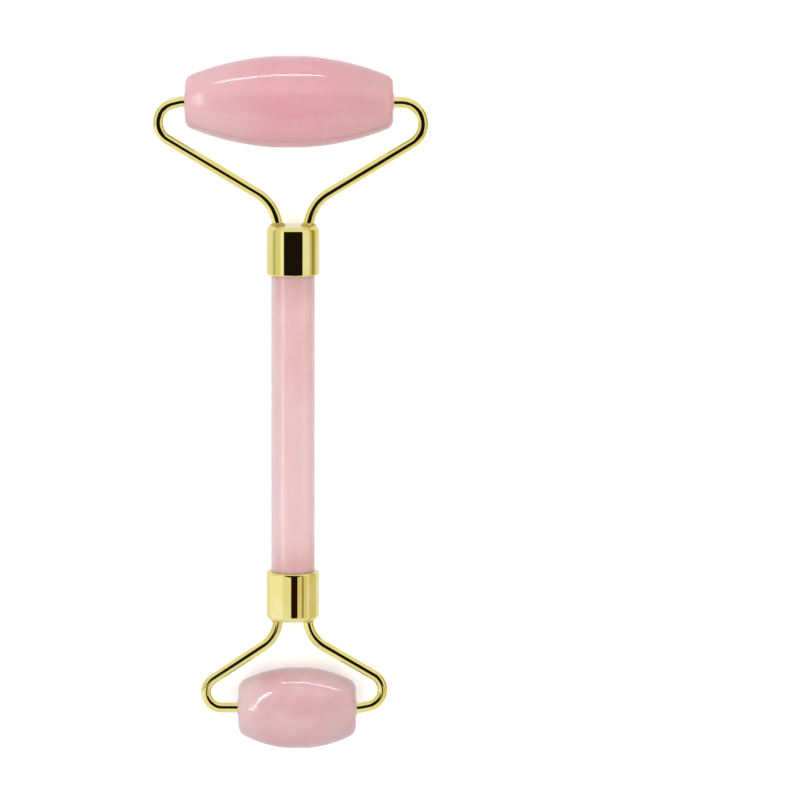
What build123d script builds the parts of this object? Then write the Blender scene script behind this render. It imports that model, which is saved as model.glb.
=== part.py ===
from build123d import *
import os
from math import asin, atan2, cos, degrees, hypot, radians, sin, tan

# A double-ended stone face roller, lying on a table on its two rollers.
# +Y runs along the handle towards the big roller, +X along both roller axes, +Z is up.
# The origin is on the table, under the centre of the whole object. Sizes are millimetres.

# Handle rod and the two drawn ferrules that cap it
axle_spacing = 128.0        # from one roller's axis to the other's
grip_length = 62.65         # bare stone between the ferrules
rod_radius = 4.55
rod_insertion = 6.0         # stone glued inside each ferrule
rod_edge = 0.3
ferrule_radius = 5.5
ferrule_length = 10.3
ferrule_wall = 0.95
ferrule_shoulder = 1.15     # outer rounding of the closed end
ferrule_lip = 0.35          # rounding of the open end

# Bent wire, the same on both forks
wire_radius = 1.1
wire_edge = 0.2
wire_spread = 3.15          # each wire's centre from the handle's axis, at the ferrule
kick_bend_radius = 4.0      # slight bend beside the stone, on the leg that was bent by hand,
                            # on the wire's centreline as every bend radius is
kick_clearance = 0.2        # straight wire outside the sleeve before that bend
tail_length = 3.4           # wire below the ferrule's closed face

# Filler metal where each wire goes into its ferrule
braze_width = 0.65
braze_height = 0.55
braze_lip = 0.12            # its thickness at the top
braze_hollow = 0.1          # how far its slope sags
braze_depth = 0.6           # how far it runs down over the rounded shoulder

# Sleeves that the stones turn on
sleeve_radius = 1.6
running_clearance = 0.05    # between the wire and the sleeve's bore
sleeve_proud = 0.2          # what stands out of the stone
sleeve_edge = 0.12
sleeve_length = 7.6
bore_depth = 8.2
axle_length = 6.6           # wire inside the stone

# One set of sizes for each end. A leg is how far out the wire's centreline reaches, its
# outer bend's radius, and how far its stub is tipped, in degrees. Legs are named as they
# lie on the table, left being -X. The forks are bent by hand, so no two legs are the same.
ends = {
    "big": {
        "facing": 1,                    # the fork opens towards +Y
        "axle_to_ferrule": 25.8,
        "neck_height": 4.1,             # where the straights would meet, above the ferrule
        "neck_bend_radius": 9.0,
        "legs": {"left": (28.1, 4.1, 14.0), "right": (27.05, 4.57, 0.0)},
        "roller_radius": 9.5,
        "roller_end_radius": 5.1,
        "roller_length": 43.2,
        "roller_ground": 0.08,          # taken off the crown, so that it rests on a line
        "roller_edge": 1.8,
        "roller_float": -0.8,           # where the stone has slid to along +X
    },
    "small": {
        "facing": -1,
        "axle_to_ferrule": 18.95,
        "neck_height": 3.8,
        "neck_bend_radius": 7.0,
        "legs": {"left": (18.26, 3.3, 0.0), "right": (18.85, 3.6, 11.0)},
        "roller_radius": 8.5,
        "roller_end_radius": 5.32,
        "roller_length": 24.7,
        "roller_ground": 0.12,
        "roller_edge": 1.6,
        "roller_float": 0.95,
    },
}


def table_side(leg):
    """Which way a leg points along X as the roller lies on the table."""
    return 1 if leg == "right" else -1


def own_side(end, leg):
    """Which way a leg points in its end's own frame, where the fork always opens towards +Y."""
    return end["facing"] * table_side(leg)


def roller_stone(end):
    """Barrel turned about X, its middle ground straight, with a blind bore in each end."""
    half = end["roller_length"] / 2
    rim = end["roller_end_radius"]
    crown = end["roller_radius"] + end["roller_ground"]
    outline = Polyline((-half, rim), (-half, 0), (half, 0), (half, rim))
    outline += ThreePointArc((half, rim), (0, crown), (-half, rim))
    stone = revolve(make_face(outline), Axis.X)
    stone = fillet(stone.faces().filter_by(Axis.X).edges(), end["roller_edge"])
    stone &= Rot(0, 90, 0) * Cylinder(end["roller_radius"], end["roller_length"])
    for side in (-1, 1):
        bore = Rot(0, 90, 0) * Cylinder(sleeve_radius, bore_depth)
        stone -= Pos(side * (half - bore_depth / 2), 0, 0) * bore
    return stone


def sleeve(end, side):
    """Plastic tube glued into one of the stone's bores, standing a little proud of it."""
    tube = Cylinder(sleeve_radius, sleeve_length)
    tube -= Cylinder(wire_radius + running_clearance, sleeve_length)
    tube = chamfer(tube.edges().group_by(Axis.Z)[-1].sort_by(SortBy.RADIUS)[-1], sleeve_edge)
    middle = end["roller_length"] / 2 + sleeve_proud - sleeve_length / 2
    return Pos(side * middle, 0, 0) * Rot(0, side * 90, 0) * tube


def floated(end, piece):
    """The stone, or a sleeve in it, slid along the axle as it happens to lie."""
    return Pos(end["facing"] * end["roller_float"], 0, 0) * piece


def wire_route(end, leg):
    """Centreline of a leg on +X: axle stub, outer bend, straight arm, neck bend, tail.

    The roller's axis is y = 0, and the ferrule is towards -Y.
    """
    half_span, loop_radius, tip = end["legs"][leg]
    tip_angle = radians(tip)
    half = end["roller_length"] / 2
    slid = table_side(leg) * end["roller_float"]
    axle_start = Vector(half - axle_length, 0)
    kick_start = Vector(half + slid + sleeve_proud + kick_clearance, 0)
    runs = [Line(axle_start, kick_start)]
    outward = Vector(1, 0)
    stub_start = kick_start
    if tip:
        kick = JernArc(kick_start, outward, kick_bend_radius, -tip)
        runs.append(kick)
        outward = Vector(cos(tip_angle), -sin(tip_angle))
        stub_start = kick @ 1

    # Outer bend: its centre lies one radius inside the outermost point
    loop_x = half_span - loop_radius
    stub_length = (loop_x + loop_radius * sin(tip_angle) - stub_start.X) / cos(tip_angle)
    loop_start = stub_start + outward * stub_length
    loop_y = loop_start.Y - loop_radius * cos(tip_angle)

    # Straight arm: the line from the neck's corner that touches the outer bend
    corner = Vector(wire_spread, end["neck_height"] - end["axle_to_ferrule"])
    to_loop = Vector(loop_x, loop_y) - corner
    slope = atan2(to_loop.Y, to_loop.X) - asin(loop_radius / hypot(to_loop.X, to_loop.Y))
    neck_turn = 90 - degrees(slope)
    inward = Vector(-cos(slope), -sin(slope))
    neck_radius = end["neck_bend_radius"]
    neck_start = corner - inward * (neck_radius * tan(radians(neck_turn / 2)))

    loop = JernArc(loop_start, outward, loop_radius, tip + degrees(slope) - 180)
    neck = JernArc(neck_start, inward, neck_radius, neck_turn)
    tail_end = Vector(wire_spread, -end["axle_to_ferrule"] - tail_length)
    runs += [Line(stub_start, loop_start), loop, Line(loop @ 1, neck_start), neck]
    runs.append(Line(neck @ 1, tail_end))
    return Wire(runs)


def fork_arm(end, leg):
    """One leg of the fork, bent from round wire in the handle's plane."""
    route = wire_route(end, leg)
    arm = sweep(Plane(route @ 0, z_dir=route % 0) * Circle(wire_radius), path=route)
    arm = chamfer(arm.faces().filter_by(GeomType.PLANE).edges(), wire_edge)
    return arm if own_side(end, leg) > 0 else mirror(arm, Plane.YZ)


def along_handle(end, depth):
    """Y of a point this far down from the ferrule's closed face, from the roller's axis."""
    return -end["axle_to_ferrule"] - depth


def ferrule(end, arms):
    """Drawn cup: closed, round-shouldered end to the fork, open end over the rod."""
    outside = Rot(90, 0, 0) * Cylinder(ferrule_radius, ferrule_length)
    cup = Pos(0, along_handle(end, ferrule_length / 2), 0) * outside
    rims = cup.faces().filter_by(Axis.Y).sort_by(Axis.Y)
    cup = fillet(rims[-1].edges(), ferrule_shoulder)
    cup = fillet(cup.faces().filter_by(Axis.Y).sort_by(Axis.Y)[0].edges(), ferrule_lip)
    depth = ferrule_length - ferrule_wall
    cavity = Rot(90, 0, 0) * Cylinder(rod_radius, depth)
    cup -= Pos(0, along_handle(end, ferrule_wall + depth / 2), 0) * cavity
    for arm in arms:
        cup -= arm
    return cup


def potting(end, arms):
    """Cured epoxy round the wires' tails, filling the cup behind the rod."""
    length = ferrule_length - ferrule_wall - rod_insertion
    plug = Rot(90, 0, 0) * Cylinder(rod_radius, length)
    plug = Pos(0, along_handle(end, ferrule_wall + length / 2), 0) * plug
    for arm in arms:
        plug -= arm
    return plug


def braze(end, arm, cup):
    """Small hollow fillet of filler metal round one wire, on the ferrule's closed face."""
    foot = wire_radius + braze_width
    top = wire_radius + braze_lip
    profile = Polyline((top, braze_height), (0, braze_height), (0, -braze_depth))
    profile += Polyline((0, -braze_depth), (foot, -braze_depth), (foot, 0))
    profile += SagittaArc((foot, 0), (top, braze_height), braze_hollow)
    ring = revolve(make_face(profile), Axis.Y)
    face = Plane(origin=(0, along_handle(end, 0), 0), z_dir=(0, 1, 0))
    wire_section = face * Circle(ferrule_radius) & arm
    return Pos(wire_section.center()) * ring - cup - arm


def handle_rod(middle):
    """Plain stone rod, its ends just inside the ferrules' potting."""
    length = grip_length + 2 * rod_insertion
    rod = Rot(90, 0, 0) * Cylinder(rod_radius, length)
    rod = chamfer(rod.faces().filter_by(Axis.Y).edges(), rod_edge)
    return Pos(0, middle, 0) * rod


def end_nodes(name, end):
    """Every piece of one end, with the roller's axis on X and the ferrule towards -Y."""
    arms = {leg: fork_arm(end, leg) for leg in end["legs"]}
    cup = ferrule(end, arms.values())
    nodes = {
        f"{name}_roller": floated(end, roller_stone(end)),
        f"{name}_ferrule": cup,
        f"{name}_ferrule_potting": potting(end, arms.values()),
    }
    for leg, arm in arms.items():
        nodes[f"{name}_fork_{leg}_arm"] = arm
        nodes[f"{name}_fork_{leg}_braze"] = braze(end, arm, cup)
        nodes[f"{name}_roller_{leg}_sleeve"] = floated(end, sleeve(end, own_side(end, leg)))
    return nodes


# The rollers differ in size, so the handle leans a little on the table
rise = ends["big"]["roller_radius"] - ends["small"]["roller_radius"]
lean = asin(rise / axle_spacing)
big_axle_y = (axle_spacing - rise / cos(lean)) / 2
small_axle_y = big_axle_y - axle_spacing
handle_height = ends["big"]["roller_radius"] - big_axle_y * sin(lean)
on_table = Pos(0, 0, handle_height) * Rot(degrees(lean), 0, 0)
axle_y = {"big": big_axle_y, "small": small_axle_y}

grip_top = big_axle_y + along_handle(ends["big"], ferrule_length)
parts = {"handle_rod": on_table * handle_rod(grip_top - grip_length / 2)}
for name, end in ends.items():
    half_turn = 0 if end["facing"] > 0 else 180
    place = on_table * Pos(0, axle_y[name], 0) * Rot(0, 0, half_turn)
    for node, solid in end_nodes(name, end).items():
        parts[node] = place * solid

os.makedirs("parts", exist_ok=True)
for node, solid in parts.items():
    export_step(solid, f"parts/{node}.step")
    print(f"{node:26s} {solid.volume:9.2f} mm3")
for name in ends:
    axis_point = on_table * Pos(0, axle_y[name], 0)
    print(name, "roller axis passes through", axis_point.position)
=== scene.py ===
import math
import bpy
from mathutils import Matrix, Vector


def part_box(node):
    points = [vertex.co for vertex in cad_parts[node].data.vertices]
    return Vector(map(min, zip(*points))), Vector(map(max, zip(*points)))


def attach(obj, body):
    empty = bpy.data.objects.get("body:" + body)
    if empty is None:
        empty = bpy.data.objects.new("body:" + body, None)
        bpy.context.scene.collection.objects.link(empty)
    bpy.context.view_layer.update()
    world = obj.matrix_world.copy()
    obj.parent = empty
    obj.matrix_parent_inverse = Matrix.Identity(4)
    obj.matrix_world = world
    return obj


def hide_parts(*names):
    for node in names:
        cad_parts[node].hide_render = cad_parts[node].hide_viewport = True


# A stone face roller: two polished rose quartz barrels in gold wire forks, on a stone handle.
# Metres throughout. +Y runs along the handle to the big roller, +X along both axles, +Z is up.

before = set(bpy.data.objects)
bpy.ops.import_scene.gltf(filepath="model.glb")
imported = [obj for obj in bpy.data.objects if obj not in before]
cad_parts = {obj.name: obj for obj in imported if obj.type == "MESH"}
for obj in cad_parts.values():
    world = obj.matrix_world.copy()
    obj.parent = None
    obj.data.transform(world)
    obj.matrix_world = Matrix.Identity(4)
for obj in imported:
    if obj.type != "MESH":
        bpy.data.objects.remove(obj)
bpy.context.view_layer.update()


# Where things are, all of it read from the frame

def centreOf(part):
    low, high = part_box(part)
    return (low + high) / 2


def frameAxes(origin, xAxis, yAxis):
    zAxis = xAxis.cross(yAxis).normalized()
    place = Matrix((xAxis.normalized(), yAxis.normalized(), zAxis)).transposed().to_4x4()
    place.translation = origin
    return place


bigAxle = centreOf("big_roller")
smallAxle = centreOf("small_roller")
slid = {"big": bigAxle.x, "small": smallAxle.x}     # how far each stone has slid along its axle
bigAxle.x = smallAxle.x = 0
acrossHandle = Vector((1, 0, 0))
alongHandle = (bigAxle - smallAxle).normalized()

# Each end has its own axes: X along the axle, Y out through the fork
endPlaces = {
    "big": frameAxes(bigAxle, acrossHandle, alongHandle),
    "small": frameAxes(smallAxle, -acrossHandle, -alongHandle),
}


# Small helpers for building node trees

sharpAngle = math.radians(40)     # a piece's edges are crisp past this, and smooth below it


def connect(tree, source, socket):
    # a socket takes either another node's output or a plain value
    if isinstance(source, bpy.types.NodeSocket):
        tree.links.new(source, socket)
    else:
        socket.default_value = source


def addNode(tree, kind, inputs=None, **settings):
    made = tree.nodes.new(kind)
    for setting, value in settings.items():
        setattr(made, setting, value)
    for socket, source in (inputs or {}).items():
        connect(tree, source, made.inputs[socket])
    return made


def maths(tree, operation, *sources, kind="ShaderNodeMath"):
    made = addNode(tree, kind, operation=operation)
    for socket, source in zip(made.inputs, sources):
        connect(tree, source, socket)
    return made.outputs[0]


def vectorMaths(tree, operation, *sources, output="Vector"):
    made = addNode(tree, "ShaderNodeVectorMath", operation=operation)
    for socket, source in zip(made.inputs, sources):
        connect(tree, source, socket)
    return made.outputs[output]


def combine(tree, x, y, z):
    return addNode(tree, "ShaderNodeCombineXYZ", {"X": x, "Y": y, "Z": z}).outputs[0]


def startTree(name, inputs):
    # inputs: socket name -> (kind, starting value)
    tree = bpy.data.node_groups.new(name, "GeometryNodeTree")
    tree.interface.new_socket(name="Path", in_out="INPUT", socket_type="NodeSocketGeometry")
    tree.interface.new_socket(name="Geometry", in_out="OUTPUT", socket_type="NodeSocketGeometry")
    for label, (kind, value) in inputs.items():
        socket = tree.interface.new_socket(name=label, in_out="INPUT", socket_type="NodeSocket" + kind)
        if value is not None:
            socket.default_value = value
    return tree, addNode(tree, "NodeGroupInput").outputs


def endTree(tree, geometry, finish):
    smooth = addNode(tree, "GeometryNodeSetShadeSmooth", {"Geometry": geometry}, domain="FACE")
    angle = addNode(tree, "GeometryNodeInputMeshEdgeAngle").outputs["Unsigned Angle"]
    isSharp = addNode(tree, "FunctionNodeCompare", {0: angle, 1: sharpAngle}, operation="GREATER_THAN")
    edges = addNode(tree, "GeometryNodeSetShadeSmooth", {
        "Geometry": smooth.outputs[0],
        "Selection": isSharp.outputs[0],
        "Shade Smooth": False,
    }, domain="EDGE")
    real = addNode(tree, "GeometryNodeRealizeInstances", {"Geometry": edges.outputs[0]})
    painted = addNode(tree, "GeometryNodeSetMaterial", {"Geometry": real.outputs[0], "Material": finish})
    output = addNode(tree, "NodeGroupOutput")
    tree.links.new(painted.outputs[0], output.inputs["Geometry"])


def roundCorners(tree, path, steps):
    # every point of the path carries its own rounding in its radius
    rounding = addNode(tree, "GeometryNodeInputNamedAttribute", {"Name": "radius"}, data_type="FLOAT")
    return addNode(tree, "GeometryNodeFilletCurve", {
        "Curve": path,
        "Radius": rounding.outputs["Attribute"],
        "Count": steps,
        "Limit Radius": False,
    }, mode="POLY").outputs["Curve"]


def makeTurningTree():
    # turns an outline about X: x along the axis, y the distance from it
    tree, given = startTree("Turned piece", {
        "Corner Steps": ("Int", 14),
        "Longest Run": ("Float", 0.0005),
        "Around": ("Int", 160),
        "Barrel Arc": ("Float", 0.0),
        "Half Length": ("Float", 0.01),
        "Ground Radius": ("Float", 1.0),
        "Inner Radius": ("Float", 0.0),
        "Unevenness": ("Float", 0.0),
        "Uneven Size": ("Float", 0.006),
        "Seed": ("Float", 0.0),
        "Finish": ("Material", None),
    })
    outline = roundCorners(tree, given["Path"], given["Corner Steps"])

    # long runs are divided, so that a mirror finish stays true along them
    position = addNode(tree, "GeometryNodeInputPosition").outputs[0]
    nextPoint = addNode(tree, "GeometryNodeOffsetPointInCurve", {"Offset": 1}).outputs["Point Index"]
    nextPosition = addNode(tree, "GeometryNodeFieldAtIndex", {
        "Index": nextPoint,
        "Value": position,
    }, data_type="FLOAT_VECTOR").outputs[0]
    run = vectorMaths(tree, "DISTANCE", position, nextPosition, output="Value")
    cuts = maths(tree, "FLOOR", maths(tree, "DIVIDE", run, given["Longest Run"]))
    divided = addNode(tree, "GeometryNodeSubdivideCurve", {"Curve": outline, "Cuts": cuts}).outputs[0]

    # barrel rule: the outside swells by the height of an arc over its ends, and is ground straight
    # where that would pass the ground radius
    parts = addNode(tree, "ShaderNodeSeparateXYZ", {"Vector": position}).outputs
    arcSquared = maths(tree, "POWER", given["Barrel Arc"], 2.0)
    here = maths(tree, "SUBTRACT", arcSquared, maths(tree, "POWER", parts["X"], 2.0))
    atEnds = maths(tree, "SUBTRACT", arcSquared, maths(tree, "POWER", given["Half Length"], 2.0))
    swell = maths(tree, "SUBTRACT", maths(tree, "SQRT", here), maths(tree, "SQRT", atEnds))
    isOutside = maths(tree, "GREATER_THAN", parts["Y"], given["Inner Radius"])
    isBarrel = maths(tree, "GREATER_THAN", given["Barrel Arc"], 0.0)
    swell = maths(tree, "MULTIPLY", swell, maths(tree, "MULTIPLY", isOutside, isBarrel))
    swell = maths(tree, "MINIMUM", swell, maths(tree, "SUBTRACT", given["Ground Radius"], parts["Y"]))
    swollen = addNode(tree, "GeometryNodeSetPosition", {
        "Geometry": divided,
        "Offset": combine(tree, 0.0, swell, 0.0),
    }).outputs[0]

    # a grid, one row for each point of the outline, is rolled up about the axis
    rows = addNode(tree, "GeometryNodeAttributeDomainSize", {"Geometry": swollen}, component="CURVE")
    columns = maths(tree, "ADD", given["Around"], 1, kind="FunctionNodeIntegerMath")
    grid = addNode(tree, "GeometryNodeMeshGrid", {
        "Vertices X": rows.outputs["Point Count"],
        "Vertices Y": columns,
    }).outputs["Mesh"]
    index = addNode(tree, "GeometryNodeInputIndex").outputs[0]
    row = maths(tree, "DIVIDE_FLOOR", index, columns, kind="FunctionNodeIntegerMath")
    column = maths(tree, "MODULO", index, columns, kind="FunctionNodeIntegerMath")
    outlinePoint = addNode(tree, "GeometryNodeSampleIndex", {
        "Geometry": swollen,
        "Value": position,
        "Index": row,
    }, data_type="FLOAT_VECTOR", domain="POINT").outputs[0]
    point = addNode(tree, "ShaderNodeSeparateXYZ", {"Vector": outlinePoint}).outputs
    turn = maths(tree, "MULTIPLY", maths(tree, "DIVIDE", column, given["Around"]), 2 * math.pi)
    turned = combine(
        tree,
        point["X"],
        maths(tree, "MULTIPLY", point["Y"], maths(tree, "SINE", turn)),
        maths(tree, "MULTIPLY", point["Y"], maths(tree, "COSINE", turn)),
    )
    rolled = addNode(tree, "GeometryNodeSetPosition", {"Geometry": grid, "Position": turned}).outputs[0]
    closed = addNode(tree, "GeometryNodeMergeByDistance", {
        "Geometry": rolled,
        "Distance": 1e-7,
    }).outputs[0]

    # hand grinding leaves the outside a few hundredths out of true
    around = vectorMaths(tree, "MULTIPLY", position, (0.0, 1.0, 1.0))
    fromAxis = vectorMaths(tree, "LENGTH", around, output="Value")
    grinding = addNode(tree, "ShaderNodeTexNoise", {
        "Vector": position,
        "W": given["Seed"],
        "Scale": maths(tree, "DIVIDE", 1.0, given["Uneven Size"]),
        "Detail": 1.0,
    }, noise_dimensions="4D").outputs["Fac"]
    high = maths(tree, "MULTIPLY", maths(tree, "SUBTRACT", grinding, 0.5), given["Unevenness"])
    high = maths(tree, "MULTIPLY", high, maths(tree, "GREATER_THAN", fromAxis, given["Inner Radius"]))
    normal = addNode(tree, "GeometryNodeInputNormal").outputs[0]
    uneven = addNode(tree, "GeometryNodeSetPosition", {
        "Geometry": closed,
        "Offset": vectorMaths(tree, "MULTIPLY", normal, combine(tree, high, high, high)),
    }).outputs[0]
    endTree(tree, uneven, given["Finish"])
    return tree


def makeWireTree():
    # sweeps round wire along a path whose corners carry their bends
    tree, given = startTree("Bent wire", {
        "Wire Radius": ("Float", 0.001),
        "Bend Steps": ("Int", 60),
        "Step": ("Float", 0.00018),
        "Around": ("Int", 40),
        "Finish": ("Material", None),
    })
    bent = roundCorners(tree, given["Path"], given["Bend Steps"])
    even = addNode(tree, "GeometryNodeResampleCurve", {
        "Curve": bent,
        "Length": given["Step"],
    }, mode="LENGTH").outputs[0]
    section = addNode(tree, "GeometryNodeCurvePrimitiveCircle", {
        "Resolution": given["Around"],
        "Radius": given["Wire Radius"],
    }, mode="RADIUS").outputs["Curve"]
    wire = addNode(tree, "GeometryNodeCurveToMesh", {
        "Curve": even,
        "Profile Curve": section,
        "Fill Caps": True,
    }).outputs[0]
    endTree(tree, wire, given["Finish"])
    return tree


turningTree = makeTurningTree()
wireTree = makeWireTree()


def drawPath(name, corners):
    # corners: (x, y, rounding)
    curve = bpy.data.curves.new(name, "CURVE")
    curve.dimensions = "3D"
    spline = curve.splines.new("POLY")
    spline.points.add(len(corners) - 1)
    for point, (x, y, rounding) in zip(spline.points, corners):
        point.co = (x, y, 0, 1)
        point.radius = rounding
    path = bpy.data.objects.new(name + "Path", curve)
    bpy.context.scene.collection.objects.link(path)
    return path


def makePiece(name, tree, corners, place, values):
    # runs the tree on the drawn path, and keeps the result as a plain mesh in its place
    path = drawPath(name, corners)
    modifier = path.modifiers.new("Shape", "NODES")
    modifier.node_group = tree
    for item in tree.interface.items_tree:
        if item.in_out == "INPUT" and item.name in values:
            modifier[item.identifier] = values[item.name]
    bpy.context.view_layer.update()
    evaluated = path.evaluated_get(bpy.context.evaluated_depsgraph_get())
    mesh = bpy.data.meshes.new_from_object(evaluated)
    bpy.data.objects.remove(path)
    mesh.name = name
    mesh.transform(place)
    piece = bpy.data.objects.new(name, mesh)
    bpy.context.scene.collection.objects.link(piece)
    return piece


def finishPiece(piece, body, part):
    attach(piece, body)
    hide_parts(part)


# Materials

def newMaterial(name):
    material = bpy.data.materials.new(name)
    material.use_nodes = True
    return material, material.node_tree, material.node_tree.nodes["Principled BSDF"]


def setShader(shader, values):
    for socket, value in values.items():
        shader.inputs[socket].default_value = value


def placedCoordinates(tree, location=(0, 0, 0), rotation=(0, 0, 0), scale=(1, 1, 1)):
    own = addNode(tree, "ShaderNodeTexCoord").outputs["Object"]
    return addNode(tree, "ShaderNodeMapping", {
        "Vector": own,
        "Location": location,
        "Rotation": [math.radians(angle) for angle in rotation],
        "Scale": scale,
    }).outputs[0]


def noise(tree, where, size, detail=2.0, roughness=0.5, distortion=0.0):
    # size is how far apart its lumps are, in metres
    return addNode(tree, "ShaderNodeTexNoise", {
        "Vector": where,
        "Scale": 1 / size,
        "Detail": detail,
        "Roughness": roughness,
        "Distortion": distortion,
    }).outputs["Fac"]


def between(tree, source, low, high, outLow=0.0, outHigh=1.0):
    return addNode(tree, "ShaderNodeMapRange", {
        "Value": source,
        "From Min": low,
        "From Max": high,
        "To Min": outLow,
        "To Max": outHigh,
    }, interpolation_type="SMOOTHSTEP").outputs["Result"]


def mixColours(tree, factor, first, second):
    # a colour Mix node has its colours in sockets 6 and 7, and its result in output 2
    mix = addNode(tree, "ShaderNodeMix", data_type="RGBA")
    connect(tree, factor, mix.inputs[0])
    connect(tree, first, mix.inputs[6])
    connect(tree, second, mix.inputs[7])
    return mix.outputs[2]


def bump(tree, height, distance, under=None):
    made = addNode(tree, "ShaderNodeBump", {"Height": height, "Distance": distance, "Strength": 1.0})
    if under is not None:
        tree.links.new(under, made.inputs["Normal"])
    return made.outputs[0]


# What all three stones share. A pair is where a pattern's shade begins to change and has changed
quartzLook = {
    "subsurface": 0.85,
    "lightReach": 0.0035,            # how far light wanders inside the stone
    "reachByColour": (1.0, 0.55, 0.55),
    "gloss": 0.07,
    "handled": 1.8,                  # times rougher where hands have dulled it
    "handSize": 0.004,
    "handEdge": (0.3, 0.7),
    "refraction": 1.54,
    "patchEdge": (0.35, 0.65),
    "cloudEdge": (0.32, 0.68),
    "veilEdge": (0.0, 0.11),
    "grainSize": 0.0009,
    "grainEdge": (0.3, 0.7),
    "grainDepth": 0.000002,
    "rippleSize": 0.0018,            # slight waves that the polishing left
    "crackBend": 0.006,              # how far a crack strays from straight
    "crackBends": 160.0,             # how often it does, in a metre
    "crackEdge": (0.0, 0.035),
    "crackBreakSize": 0.007,
    "crackBreakEdge": (0.52, 0.66),
}


def makeQuartz(name, look):
    # cloudy rose quartz: broad patches, clouds inside them, milky veils, hairline healed cracks
    material, tree, shader = newMaterial(name)
    where = placedCoordinates(tree, look["location"], look["rotation"], look["stretch"])
    patches = between(tree, noise(tree, where, look["patchSize"], 1.0, 0.4, 0.4), *quartzLook["patchEdge"])
    clouds = between(tree, noise(tree, where, look["cloudSize"], 3.0, 0.5, 0.8), *quartzLook["cloudEdge"])
    veilWhere = placedCoordinates(tree, look["location"], look["veilTurn"], look["veilStretch"])
    veilNoise = noise(tree, veilWhere, look["veilSize"], 2.0, 0.5, 0.9)
    fromVeil = maths(tree, "ABSOLUTE", maths(tree, "SUBTRACT", veilNoise, 0.5))
    veil = between(tree, fromVeil, *quartzLook["veilEdge"], 1.0, 0.0)
    grain = noise(tree, where, quartzLook["grainSize"], 2.0, 0.6)
    grainAmount = between(tree, grain, *quartzLook["grainEdge"], 0.0, look["grain"])
    cloudAmount = maths(tree, "MULTIPLY", clouds, look["cloudiness"])
    veilAmount = maths(tree, "MULTIPLY", veil, look["veils"])

    colour = mixColours(tree, patches, (*look["deep"], 1), (*look["body"], 1))
    colour = mixColours(tree, cloudAmount, colour, (*look["pale"], 1))
    colour = mixColours(tree, veilAmount, colour, (*look["milk"], 1))
    colour = mixColours(tree, grainAmount, colour, (*look["milk"], 1))

    # whole stretches of a stone are painted paler or darker along one axis; on the handle the dark ends
    # are painted shade beside the ferrules
    along = addNode(tree, "ShaderNodeSeparateXYZ", {"Vector": placedCoordinates(tree)}).outputs
    for axis, begins, full, amount, shade in look["stretches"]:
        here = between(tree, along[axis], begins, full, 0.0, amount)
        colour = mixColours(tree, here, colour, (*shade, 1))

    # healed cracks: the walls of big cells, bent out of straight, and only here and there
    wander = addNode(tree, "ShaderNodeTexNoise", {
        "Vector": where,
        "Scale": quartzLook["crackBends"],
    }).outputs["Color"]
    strayed = vectorMaths(tree, "MULTIPLY", wander, [quartzLook["crackBend"]] * 3)
    walls = addNode(tree, "ShaderNodeTexVoronoi", {
        "Vector": vectorMaths(tree, "ADD", where, strayed),
        "Scale": 1 / look["crackSize"],
    }, feature="DISTANCE_TO_EDGE").outputs["Distance"]
    crack = between(tree, walls, *quartzLook["crackEdge"], look["cracks"], 0.0)
    breaks = noise(tree, where, quartzLook["crackBreakSize"], 1.0)
    broken = between(tree, breaks, *quartzLook["crackBreakEdge"])
    colour = mixColours(tree, maths(tree, "MULTIPLY", crack, broken), colour, (*look["milk"], 1))
    tree.links.new(colour, shader.inputs["Base Color"])

    setShader(shader, {
        "Subsurface Weight": quartzLook["subsurface"],
        "Subsurface Radius": quartzLook["reachByColour"],
        "Subsurface Scale": quartzLook["lightReach"],
        "IOR": quartzLook["refraction"],
    })
    gloss = quartzLook["gloss"]
    hand = noise(tree, where, quartzLook["handSize"], 2.0)
    roughness = between(tree, hand, *quartzLook["handEdge"], gloss, gloss * quartzLook["handled"])
    tree.links.new(roughness, shader.inputs["Roughness"])
    ripple = bump(tree, noise(tree, where, quartzLook["rippleSize"], 2.0), look["ripple"])
    tree.links.new(bump(tree, grain, quartzLook["grainDepth"], ripple), shader.inputs["Normal"])
    return material


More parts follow.
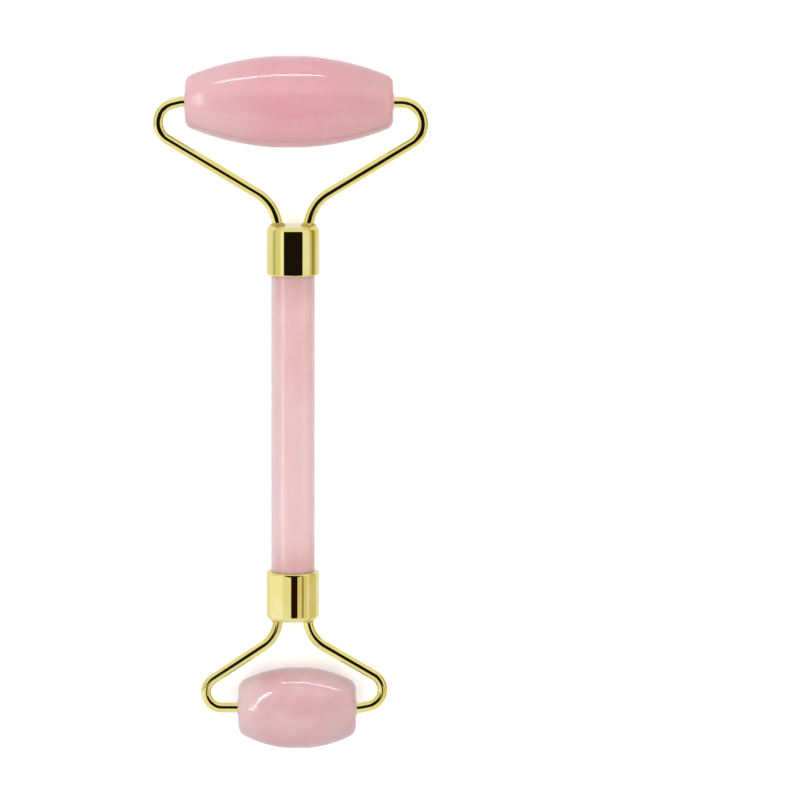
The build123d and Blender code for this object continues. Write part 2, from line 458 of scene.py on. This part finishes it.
# A stretch is its axis, where it begins and is full, how strong it is, and its colour
stoneLooks = {
    "handle": {
        "deep": (0.495, 0.29, 0.295), "body": (0.515, 0.345, 0.35), "pale": (0.54, 0.42, 0.43),
        "milk": (0.57, 0.49, 0.50),
        "stretches": (
            # the two Y stretches are painted shade next to the ferrules; the X stretch is paler along the
            # left edge
            ("Y", 0.018, 0.028, 0.65, (0.42, 0.26, 0.255)),
            ("Y", -0.026, -0.036, 0.7, (0.43, 0.235, 0.225)),
            ("X", -0.003, -0.0045, 0.6, (0.54, 0.46, 0.46)),
        ),
        "location": (0.31, 0.12, 0.05), "rotation": (0, 0, 8), "stretch": (1, 0.8, 1),
        "patchSize": 0.030, "cloudSize": 0.014, "cloudiness": 0.35,
        "veilTurn": (0, 12, 20), "veilStretch": (1, 0.35, 1), "veilSize": 0.018, "veils": 0.12,
        "grain": 0.05, "crackSize": 0.012, "cracks": 0.10, "ripple": 0.000014,
    },
    "big": {
        "deep": (0.445, 0.19, 0.22), "body": (0.465, 0.225, 0.25), "pale": (0.49, 0.29, 0.315),
        "milk": (0.54, 0.41, 0.44),
        "stretches": (
            ("X", -0.004, -0.018, 0.75, (0.495, 0.325, 0.335)),
            ("X", 0.004, 0.020, 0.6, (0.425, 0.262, 0.250)),
        ),
        "location": (0.07, 0.41, 0.22), "rotation": (0, 0, 20), "stretch": (0.7, 1, 1),
        "patchSize": 0.034, "cloudSize": 0.016, "cloudiness": 0.35,
        "veilTurn": (0, 10, -60), "veilStretch": (1, 0.5, 1), "veilSize": 0.022, "veils": 0.08,
        "grain": 0.04, "crackSize": 0.014, "cracks": 0.07, "ripple": 0.000028,
    },
    "small": {
        "deep": (0.41, 0.20, 0.217), "body": (0.425, 0.25, 0.262), "pale": (0.44, 0.32, 0.325),
        "milk": (0.47, 0.42, 0.425),
        "stretches": (
            ("X", -0.003, -0.011, 0.7, (0.44, 0.345, 0.345)),
            ("X", 0.005, 0.011, 0.5, (0.40, 0.28, 0.28)),
        ),
        "location": (0.53, 0.27, 0.11), "rotation": (0, 0, 35), "stretch": (1, 1, 1),
        "patchSize": 0.017, "cloudSize": 0.011, "cloudiness": 0.55,
        "veilTurn": (0, 25, 35), "veilStretch": (1, 0.5, 1), "veilSize": 0.016, "veils": 0.10,
        "grain": 0.05, "crackSize": 0.010, "cracks": 0.08, "ripple": 0.000014,
    },
}

goldLook = {
    "colour": (0.90, 0.79, 0.27),
    "paleColour": (0.93, 0.84, 0.38),     # where the plating is thinner
    "plateSize": 0.007,
    "plateEdge": (0.4, 0.7),
    "polish": 0.035,
    "handled": 0.10,                      # roughness where fingers have dulled it
    "smudgeSize": 0.0035,
    "smudgeEdge": (0.45, 0.8),
    "scratchTurn": 4,                     # degrees off the handle's line
    "scratchStretch": 0.06,
    "scratchSize": 0.00012,
    "scratchDepth": 0.0000004,
}


def makeGold():
    # bright lemon-gold plate over polished brass
    material, tree, shader = newMaterial("lemonGoldPlate")
    where = placedCoordinates(tree)
    plate = between(tree, noise(tree, where, goldLook["plateSize"], 2.0), *goldLook["plateEdge"])
    colour = mixColours(tree, plate, (*goldLook["colour"], 1), (*goldLook["paleColour"], 1))
    tree.links.new(colour, shader.inputs["Base Color"])
    setShader(shader, {"Metallic": 1.0})
    smudges = noise(tree, where, goldLook["smudgeSize"], 3.0, 0.6)
    roughness = between(tree, smudges, *goldLook["smudgeEdge"], goldLook["polish"], goldLook["handled"])
    tree.links.new(roughness, shader.inputs["Roughness"])
    turn = (0, 0, goldLook["scratchTurn"])
    alongHair = placedCoordinates(tree, rotation=turn, scale=(1, goldLook["scratchStretch"], 1))
    scratches = noise(tree, alongHair, goldLook["scratchSize"], 2.0, 0.7)
    tree.links.new(bump(tree, scratches, goldLook["scratchDepth"]), shader.inputs["Normal"])
    return material


brazeLook = {
    "burntColour": (0.50, 0.34, 0.09),
    "brightColour": (0.78, 0.62, 0.20),
    "heatSize": 0.0011,
    "heatEdge": (0.35, 0.7),
    "roughness": (0.32, 0.14),            # burnt, bright
    "pitSize": 0.0003,
    "pitDepth": 0.00002,
}


def makeBraze():
    # filler metal under the plate: browner, with a cooled, slightly pitted skin
    material, tree, shader = newMaterial("brazedCollar")
    where = placedCoordinates(tree)
    heat = between(tree, noise(tree, where, brazeLook["heatSize"], 3.0, 0.6), *brazeLook["heatEdge"])
    colour = mixColours(tree, heat, (*brazeLook["burntColour"], 1), (*brazeLook["brightColour"], 1))
    tree.links.new(colour, shader.inputs["Base Color"])
    setShader(shader, {"Metallic": 1.0})
    tree.links.new(between(tree, heat, 0.0, 1.0, *brazeLook["roughness"]), shader.inputs["Roughness"])
    pits = noise(tree, where, brazeLook["pitSize"], 3.0, 0.6)
    tree.links.new(bump(tree, pits, brazeLook["pitDepth"]), shader.inputs["Normal"])
    return material


sleeveLook = {
    "colour": (0.55, 0.36, 0.35),
    "paleColour": (0.64, 0.48, 0.46),
    "cloudSize": 0.0015,
    "cloudEdge": (0.3, 0.7),
    "subsurface": 0.5,
    "lightReach": 0.0006,
    "refraction": 1.53,
    "roughness": (0.25, 0.38),
    "grainSize": 0.00025,
    "grainDepth": 0.000006,
}


def makeSleevePlastic():
    # milky nylon that takes the stone's colour
    material, tree, shader = newMaterial("milkyNylon")
    where = placedCoordinates(tree)
    cloud = between(tree, noise(tree, where, sleeveLook["cloudSize"], 2.0), *sleeveLook["cloudEdge"])
    colour = mixColours(tree, cloud, (*sleeveLook["colour"], 1), (*sleeveLook["paleColour"], 1))
    tree.links.new(colour, shader.inputs["Base Color"])
    setShader(shader, {
        "Subsurface Weight": sleeveLook["subsurface"],
        "Subsurface Scale": sleeveLook["lightReach"],
        "IOR": sleeveLook["refraction"],
    })
    tree.links.new(between(tree, cloud, 0.0, 1.0, *sleeveLook["roughness"]), shader.inputs["Roughness"])
    grain = noise(tree, where, sleeveLook["grainSize"], 2.0)
    tree.links.new(bump(tree, grain, sleeveLook["grainDepth"]), shader.inputs["Normal"])
    return material


epoxyLook = {
    "colour": (0.62, 0.50, 0.32),
    "paleColour": (0.78, 0.70, 0.54),
    "cloudSize": 0.002,
    "cloudEdge": (0.35, 0.65),
    "subsurface": 0.4,
    "lightReach": 0.001,
    "refraction": 1.55,
    "roughness": (0.12, 0.25),
    "bubblesPerMetre": 1600.0,
    "bubbleEdge": (0.0, 0.35),
    "bubbleDepth": 0.00003,
}


def makeEpoxy():
    # cured amber epoxy with small bubbles
    material, tree, shader = newMaterial("curedEpoxy")
    where = placedCoordinates(tree)
    cloud = between(tree, noise(tree, where, epoxyLook["cloudSize"], 3.0), *epoxyLook["cloudEdge"])
    colour = mixColours(tree, cloud, (*epoxyLook["colour"], 1), (*epoxyLook["paleColour"], 1))
    tree.links.new(colour, shader.inputs["Base Color"])
    setShader(shader, {
        "Subsurface Weight": epoxyLook["subsurface"],
        "Subsurface Scale": epoxyLook["lightReach"],
        "IOR": epoxyLook["refraction"],
    })
    cells = addNode(tree, "ShaderNodeTexVoronoi", {
        "Vector": where,
        "Scale": epoxyLook["bubblesPerMetre"],
    }).outputs["Distance"]
    bubbles = between(tree, cells, *epoxyLook["bubbleEdge"])
    tree.links.new(bump(tree, bubbles, epoxyLook["bubbleDepth"]), shader.inputs["Normal"])
    tree.links.new(between(tree, cloud, 0.0, 1.0, *epoxyLook["roughness"]), shader.inputs["Roughness"])
    return material


quartz = {stone: makeQuartz(stone + "RoseQuartz", look) for stone, look in stoneLooks.items()}
gold = makeGold()
brazeMetal = makeBraze()
sleevePlastic = makeSleevePlastic()
epoxy = makeEpoxy()
print("materials made")


# Stones: two barrels and the handle

rollerSizes = {
    "rimRounding": 0.0012,
    "boreRadius": 0.0016,
    "boreDepth": 0.0082,
    "mouthRounding": 0.00012,                        # where a bore opens
    "insideShare": 1.3,                              # of the bore's radius; beyond it is the barrel
    "endShare": {"big": 0.537, "small": 0.626},      # end radius over middle radius
    "ground": {"big": 0.00008, "small": 0.00012},    # taken off the crown
    "unevenness": 0.00007,
    "unevenSize": 0.009,
    "seed": {"big": 3.0, "small": 8.0},
}


def makeRoller(end):
    low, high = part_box(end + "_roller")
    half = (high.x - low.x) / 2
    middle = (high.z - low.z) / 2
    rim = middle * rollerSizes["endShare"][end]
    rise = middle + rollerSizes["ground"][end] - rim
    bore = rollerSizes["boreRadius"]
    boreEnd = half - rollerSizes["boreDepth"]
    leftHalf = [
        (-boreEnd, 0, 0), (-boreEnd, bore, 0),
        (-half, bore, rollerSizes["mouthRounding"]), (-half, rim, rollerSizes["rimRounding"]),
    ]
    rightHalf = [(-x, y, rounding) for x, y, rounding in reversed(leftHalf)]
    place = Matrix.Translation(centreOf(end + "_roller"))
    stone = makePiece(end + "RollerStone", turningTree, leftHalf + rightHalf, place, {
        "Barrel Arc": (half ** 2 + rise ** 2) / (2 * rise),
        "Half Length": half,
        "Ground Radius": middle,
        "Inner Radius": bore * rollerSizes["insideShare"],
        "Unevenness": rollerSizes["unevenness"],
        "Uneven Size": rollerSizes["unevenSize"],
        "Seed": rollerSizes["seed"][end],
        "Finish": quartz[end],
    })
    stone.visible_glossy = False      # its pink would turn the edges of the gold orange
    finishPiece(stone, end + "_roller_body", end + "_roller")


for end in endPlaces:
    makeRoller(end)

handleSizes = {
    "edge": 0.0003,
    "unevenness": 0.00004,
    "unevenSize": 0.014,
    "seed": 5.0,
}


def makeHandle():
    low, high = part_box("handle_rod")
    radius = (high.x - low.x) / 2
    lean = math.atan2(alongHandle.z, alongHandle.y)
    half = ((high.y - low.y) - 2 * radius * math.sin(lean)) / 2 / math.cos(lean)
    edge = handleSizes["edge"]
    corners = [(-half, 0, 0), (-half, radius, edge), (half, radius, edge), (half, 0, 0)]
    place = frameAxes((low + high) / 2, alongHandle, -acrossHandle)
    rod = makePiece("handleStone", turningTree, corners, place, {
        "Unevenness": handleSizes["unevenness"],
        "Uneven Size": handleSizes["unevenSize"],
        "Seed": handleSizes["seed"],
        "Finish": quartz["handle"],
    })
    finishPiece(rod, "handle", "handle_rod")


makeHandle()
print("stones made")


# Gold ferrules, and the wire forks that stand in them

ferruleSizes = {
    "radius": 0.0055,
    "length": 0.0103,
    "wall": 0.00095,
    "shoulder": 0.00115,
    "lip": 0.00035,
    "innerCorner": 0.0002,
    "innerLip": 0.0001,
    "fromAxle": {"big": 0.0258, "small": 0.01895},
    "cornerSteps": 24,
    "longestRun": 0.0003,
    "around": 200,
}


def makeFerrule(end):
    radius = ferruleSizes["radius"]
    length = ferruleSizes["length"]
    inside = radius - ferruleSizes["wall"]
    floor = length - ferruleSizes["wall"]
    corners = [
        (floor, 0, 0), (floor, inside, ferruleSizes["innerCorner"]), (0, inside, ferruleSizes["innerLip"]),
        (0, radius, ferruleSizes["lip"]), (length, radius, ferruleSizes["shoulder"]), (length, 0, 0),
    ]
    openEnd = Vector((0, -ferruleSizes["fromAxle"][end] - length, 0))
    turnUp = frameAxes(openEnd, Vector((0, 1, 0)), Vector((-1, 0, 0)))
    cup = makePiece(end + "FerruleCup", turningTree, corners, endPlaces[end] @ turnUp, {
        "Corner Steps": ferruleSizes["cornerSteps"],
        "Longest Run": ferruleSizes["longestRun"],
        "Around": ferruleSizes["around"],
        "Finish": gold,
    })
    finishPiece(cup, "handle", end + "_ferrule")


wireSizes = {
    "radius": 0.0011,
    "spread": 0.00315,              # from the handle's axis, where the wire enters the ferrule
    "kickBend": 0.004,
    "inStone": 0.0066,
    "beforeKick": 0.0004,           # straight wire outside the stone before a tipped stub
    "tail": 0.0034,
    "neckHeight": {"big": 0.0041, "small": 0.0038},
    "neckBend": {"big": 0.009, "small": 0.007},
    # how far out each leg reaches, its outer bend, and how far its stub is tipped, in degrees
    "legs": {
        "big": {"left": (0.0281, 0.0041, 14), "right": (0.02705, 0.00457, 0)},
        "small": {"left": (0.01826, 0.0033, 0), "right": (0.01885, 0.0036, 11)},
    },
}


def wireRoute(end, leg):
    # the leg on +X of the end's own axes, with the axle as y = 0
    low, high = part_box(end + "_roller")
    half = (high.x - low.x) / 2
    halfSpan, bend, tip = wireSizes["legs"][end][leg]
    tip = math.radians(tip)
    stoneEnd = half + slid[end] * (1 if leg == "right" else -1)
    kick = Vector((stoneEnd + wireSizes["beforeKick"] + wireSizes["kickBend"] * math.tan(tip / 2), 0))

    # the outer bend is a circle that the stub and the arm both touch
    bendCentre = Vector((halfSpan - bend, 0))
    stubSlope = math.tan(tip)
    touch = Vector((bendCentre.x + bend * math.sin(tip), 0))
    touch.y = -(touch.x - kick.x) * stubSlope
    bendCentre.y = touch.y - bend * math.cos(tip)

    # the arm runs from the neck's corner and touches the outer bend from outside
    neck = Vector((wireSizes["spread"], wireSizes["neckHeight"][end] - ferruleSizes["fromAxle"][end]))
    toBend = bendCentre - neck
    slope = math.atan2(toBend.y, toBend.x) - math.asin(bend / toBend.length)

    # where the lines of the stub and the arm would cross
    armSlope = math.tan(slope)
    crossX = (neck.y - armSlope * neck.x - stubSlope * kick.x) / (-stubSlope - armSlope)
    outer = Vector((crossX, -(crossX - kick.x) * stubSlope))
    tailEnd = -ferruleSizes["fromAxle"][end] - wireSizes["tail"]
    route = [(half - wireSizes["inStone"], 0, 0)]
    if tip:
        route.append((kick.x, 0, wireSizes["kickBend"]))
    route.append((outer.x, outer.y, bend))
    route.append((neck.x, neck.y, wireSizes["neckBend"][end]))
    route.append((neck.x, tailEnd, 0))
    return route


def sideOf(end, leg):
    # which way a leg points along its own end's X
    return (1 if end == "big" else -1) * (1 if leg == "right" else -1)


def makeWire(end, leg):
    side = sideOf(end, leg)
    corners = [(side * x, y, rounding) for x, y, rounding in wireRoute(end, leg)]
    wire = makePiece(f"{end}Fork{leg.title()}Wire", wireTree, corners, endPlaces[end], {
        "Wire Radius": wireSizes["radius"],
        "Finish": gold,
    })
    finishPiece(wire, "handle", f"{end}_fork_{leg}_arm")


brazeSizes = {
    "width": 0.00065,
    "height": 0.00055,
    "lip": 0.00012,
    "depth": 0.0006,
    "overWire": 0.9,                # its inner radius over the wire's, so that no gap shows
    "insideShare": 1.02,
    "waist": 0.3,                   # how far up the slope sags
    "footRounding": 0.0003,
    "waistRounding": 0.0005,
    "lipRounding": 0.00006,
    "unevenness": 0.00022,
    "unevenSize": 0.0011,
    "seed": 2.0,
    "cornerSteps": 6,
    "longestRun": 0.00012,
    "around": 64,
}


def makeCollar(end, leg):
    # filler metal round the foot of a wire
    side = sideOf(end, leg)
    foot = wireSizes["radius"] + brazeSizes["width"]
    top = wireSizes["radius"] + brazeSizes["lip"]
    height = brazeSizes["height"]
    depth = brazeSizes["depth"]
    inside = wireSizes["radius"] * brazeSizes["overWire"]
    bead = [
        (height, inside, 0), (-depth, inside, 0), (-depth, foot, 0), (0, foot, brazeSizes["footRounding"]),
        (height * brazeSizes["waist"], (foot + top) / 2, brazeSizes["waistRounding"]),
        (height, top, brazeSizes["lipRounding"]), (height, inside, 0),
    ]
    seat = Vector((side * wireSizes["spread"], -ferruleSizes["fromAxle"][end], 0))
    turnUp = frameAxes(seat, Vector((0, 1, 0)), Vector((-1, 0, 0)))
    place = endPlaces[end] @ turnUp
    collar = makePiece(f"{end}Fork{leg.title()}Braze", turningTree, bead, place, {
        "Corner Steps": brazeSizes["cornerSteps"],
        "Longest Run": brazeSizes["longestRun"],
        "Around": brazeSizes["around"],
        "Inner Radius": wireSizes["radius"] * brazeSizes["insideShare"],
        "Unevenness": brazeSizes["unevenness"],
        "Uneven Size": brazeSizes["unevenSize"],
        "Seed": brazeSizes["seed"] + side + len(end),     # so that no two collars are alike
        "Finish": brazeMetal,
    })
    finishPiece(collar, "handle", f"{end}_fork_{leg}_braze")


sleeveSizes = {
    "radius": 0.0016,
    "bore": 0.00115,
    "length": 0.0076,
    "proud": 0.0002,
    "edge": 0.00012,
    "mouthRounding": 0.00005,
    "cornerSteps": 6,
    "around": 64,
}


def makeSleeve(end, leg):
    side = 1 if leg == "right" else -1
    low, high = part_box(end + "_roller")
    half = (high.x - low.x) / 2
    outerEnd = half + sleeveSizes["proud"]
    innerEnd = outerEnd - sleeveSizes["length"]
    tube = [
        (innerEnd, sleeveSizes["bore"], 0), (innerEnd, sleeveSizes["radius"], 0),
        (outerEnd, sleeveSizes["radius"], sleeveSizes["edge"]),
        (outerEnd, sleeveSizes["bore"], sleeveSizes["mouthRounding"]), (innerEnd, sleeveSizes["bore"], 0),
    ]
    place = frameAxes(centreOf(end + "_roller"), Vector((side, 0, 0)), Vector((0, 1, 0)))
    sleeve = makePiece(f"{end}Roller{leg.title()}Sleeve", turningTree, tube, place, {
        "Corner Steps": sleeveSizes["cornerSteps"],
        "Around": sleeveSizes["around"],
        "Finish": sleevePlastic,
    })
    finishPiece(sleeve, end + "_roller_body", f"{end}_roller_{leg}_sleeve")


for end in endPlaces:
    makeFerrule(end)
    for leg in wireSizes["legs"][end]:
        makeWire(end, leg)
        makeCollar(end, leg)
        makeSleeve(end, leg)
    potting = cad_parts[end + "_ferrule_potting"]
    potting.data.materials.clear()
    potting.data.materials.append(epoxy)
print("ferrules, forks and sleeves made")


# Floor, light and camera

floorLook = {
    "size": 6.0,
    "colour": (0.97, 0.97, 0.97),
    "fibreSize": 0.002,
    "fibreShade": 0.99,
    "roughness": 0.9,
    "shine": 0.2,
}


def makeFloor():
    half = floorLook["size"] / 2
    corners = [(-half, -half, 0), (half, -half, 0), (half, half, 0), (-half, half, 0)]
    mesh = bpy.data.meshes.new("floor")
    mesh.from_pydata(corners, [], [(0, 1, 2, 3)])
    floor = bpy.data.objects.new("floor", mesh)
    bpy.context.scene.collection.objects.link(floor)
    material, tree, shader = newMaterial("paperSweep")
    fibres = noise(tree, placedCoordinates(tree), floorLook["fibreSize"], 3.0)
    shade = [part * floorLook["fibreShade"] for part in floorLook["colour"]]
    colour = mixColours(tree, fibres, (*shade, 1), (*floorLook["colour"], 1))
    tree.links.new(colour, shader.inputs["Base Color"])
    setShader(shader, {"Roughness": floorLook["roughness"], "Specular IOR Level": floorLook["shine"]})
    mesh.materials.append(material)
    floor.visible_glossy = False      # the metal mirrors the room's light, not the brighter paper


studio = {
    "roomLight": 0.86,
    "fillHeight": 1.0,
    "fillForward": 0.06,      # how far the big light is moved towards the big roller
    "fillSize": 1.4,
    "fillLight": 2.3,
    "cardHeight": 0.30,
}


# Bars of light, each placed by the directions in which a stone sees its two ends
lightBars = {
    "barBehind": {
        "lights": "bigRollerStone", "from": bigAxle, "distance": 0.45,
        "ways": ((-0.507, 0.814, 0.284), (0.217, 0.957, 0.225)), "width": 0.016, "radiance": 18.0,
    },
    "barLeft": {
        "lights": "handleStone", "from": Vector((0, 0, 0.009)), "distance": 0.5,
        "ways": ((-0.75, -0.42, 0.53), (-0.80, 0.18, 0.565)), "width": 0.012, "radiance": 13.0,
    },
    "barLow": {
        "lights": "smallRollerStone", "from": smallAxle, "distance": 0.55,
        "ways": ((-0.21, 0.977, 0.03), (0.595, 0.790, 0.150)), "width": 0.032, "radiance": 8.0,
    },
    "barSide": {
        "lights": "smallRollerStone", "from": smallAxle, "distance": 0.55,
        "ways": ((-0.727, -0.045, 0.685), (-0.410, 0.792, 0.453)), "width": 0.040, "radiance": 11.0,
    },
    "barEnd": {
        "lights": "bigRollerStone", "from": bigAxle, "distance": 0.5,
        "ways": ((-0.650, 0.50, 0.590), (-0.663, -0.12, 0.740)), "width": 0.010, "radiance": 11.0,
    },
}


def flatCard(left, right, front, back, lift=1.0):
    height = studio["cardHeight"] * lift
    return [(left, front, height), (left, back, height), (right, back, height), (right, front, height)]


def standingCard(across, low, high, front, back):
    return [(across, front, low), (across, back, low), (across, back, high), (across, front, high)]


# Cards over and beside the object, seen only in its reflections
overhead = studio["cardHeight"]
cards = {
    "wideCard": {
        "corners": flatCard(-0.80 * overhead, 0.92 * overhead, -0.085, 0.20),
        "shade": (0.54, 0.36, 0.40), "glow": 0.02,
    },
    "narrowCard": {
        "corners": flatCard(-0.12 * overhead, 0.385 * overhead, -0.16, -0.085),
        "shade": (1.0, 0.36, 0.05), "glow": 0.02,
    },
    "brownCard": {
        "corners": flatCard(0.84 * overhead, 1.14 * overhead, -0.16, -0.085),
        "shade": (0.36, 0.30, 0.12), "glow": 0.9,
    },
    "dullCard": {
        "corners": flatCard(0.42 * overhead, 2.4 * overhead, -0.32, -0.087, 1.02),
        "shade": (0.86, 0.78, 0.60), "glow": 0.86,
    },
    "lowWall": {
        "corners": standingCard(-0.72, -0.45, 0.75, -0.6, -0.125),
        "shade": (1.0, 0.98, 1.12), "glow": 1.0,
    },
    "paleCard": {
        "corners": flatCard(-1.22 * overhead, -0.98 * overhead, -0.04, 0.20),
        "shade": (1.0, 0.98, 1.2), "glow": 1.15,
    },
    "leftWall": {
        "corners": standingCard(-0.7, 0.13, 0.46, -0.12, 0.5),
        "shade": (0.84, 0.86, 0.72), "glow": 0.88,
    },
    "leftFlag": {
        "corners": standingCard(-0.7, -0.09, 0.12, -0.12, 0.5),
        "shade": (0.60, 0.62, 0.42), "glow": 0.88,
    },
    "rightWall": {
        "corners": standingCard(0.71, -0.45, 0.17, -0.5, 0.5),
        "shade": (0.80, 0.73, 0.56), "glow": 0.86,
    },
    "rightFlag": {
        "corners": standingCard(0.7, -0.24, 0.02, -0.12, 0.5),
        "shade": (0.42, 0.36, 0.14), "glow": 0.88,
    },
}


def makeCard(name, card):
    mesh = bpy.data.meshes.new(name)
    mesh.from_pydata(card["corners"], [], [(0, 1, 2, 3)])
    made = bpy.data.objects.new(name, mesh)
    bpy.context.scene.collection.objects.link(made)
    material, tree, shader = newMaterial(name + "Paint")
    setShader(shader, {
        "Base Color": (0.0, 0.0, 0.0, 1),
        "Specular IOR Level": 0.0,
        "Roughness": 0.9,
        "Emission Color": (*card["shade"], 1),
        "Emission Strength": card["glow"],
    })
    mesh.materials.append(material)
    made.visible_camera = False
    made.visible_diffuse = False
    made.visible_shadow = False
    made.visible_transmission = False


def makeLight(name, ends, width, radiance, target, glossy=True):
    # a straight bar of light between two points, facing the target
    first, last = Vector(ends[0]), Vector(ends[1])
    middle = (first + last) / 2
    facing = (middle - Vector(target)).normalized()
    along = last - first
    length = along.length
    along = (along - along.dot(facing) * facing).normalized()
    light = bpy.data.lights.new(name, "AREA")
    light.shape = "RECTANGLE"
    light.size = length
    light.size_y = width
    light.energy = radiance * math.pi * length * width
    lamp = bpy.data.objects.new(name, light)
    lamp.matrix_world = frameAxes(middle, along, facing.cross(along))
    lamp.visible_camera = False
    lamp.visible_glossy = glossy
    bpy.context.scene.collection.objects.link(lamp)
    return lamp


def lightOnly(lamp, piece):
    # the lamp's light falls on this one piece
    lit = bpy.data.collections.new(lamp.name + "Falls")
    lit.objects.link(bpy.data.objects[piece])
    lamp.light_linking.receiver_collection = lit


def lightRoom():
    world = bpy.data.worlds.new("room")
    bpy.context.scene.world = world
    world.use_nodes = True
    tree = world.node_tree
    room = tree.nodes["Background"]
    room.inputs["Color"].default_value = (1.0, 1.0, 1.0, 1)
    room.inputs["Strength"].default_value = studio["roomLight"]
    backdrop = addNode(tree, "ShaderNodeBackground", {"Color": (1.0, 1.0, 1.0, 1), "Strength": 1.0})
    isCamera = addNode(tree, "ShaderNodeLightPath").outputs["Is Camera Ray"]
    mix = addNode(tree, "ShaderNodeMixShader", {0: isCamera, 1: room.outputs[0], 2: backdrop.outputs[0]})
    tree.links.new(mix.outputs[0], tree.nodes["World Output"].inputs["Surface"])

    height = studio["fillHeight"]
    forward = studio["fillForward"]
    half = studio["fillSize"] / 2
    makeLight("overheadFill", ((-half, forward, height), (half, forward, height)), studio["fillSize"],
              studio["fillLight"], (0, 0, 0), glossy=False)
    for name, bar in lightBars.items():
        ends = [bar["from"] + bar["distance"] * Vector(way).normalized() for way in bar["ways"]]
        lamp = makeLight(name, ends, bar["width"], bar["radiance"], bar["from"])
        lightOnly(lamp, bar["lights"])


makeFloor()
for name, card in cards.items():
    makeCard(name, card)
lightRoom()

view = {
    "distance": 1.3,
    "lean": 7.4,                    # degrees from straight down, towards the big roller
    "turn": 0.16,                   # degrees about its own line of sight
    "aim": (0.0224, 0.0006, 0.006),
    "width": 0.1678,                # what the picture takes in, across the aim
}


def makeCamera():
    lean = math.radians(view["lean"])
    back = Vector((0, math.sin(lean), math.cos(lean)))
    up = Vector((0, math.cos(lean), -math.sin(lean)))
    camera = bpy.data.cameras.new("camera")
    camera.sensor_width = 36
    camera.lens = camera.sensor_width * view["distance"] / view["width"]
    holder = bpy.data.objects.new("camera", camera)
    level = frameAxes(Vector(view["aim"]) + back * view["distance"], Vector((1, 0, 0)), up)
    holder.matrix_world = level @ Matrix.Rotation(math.radians(view["turn"]), 4, "Z")
    bpy.context.scene.collection.objects.link(holder)
    bpy.context.scene.camera = holder


makeCamera()
bpy.context.scene.view_settings.view_transform = "Standard"
print("floor, lights and camera set")

bpy.context.view_layer.update()
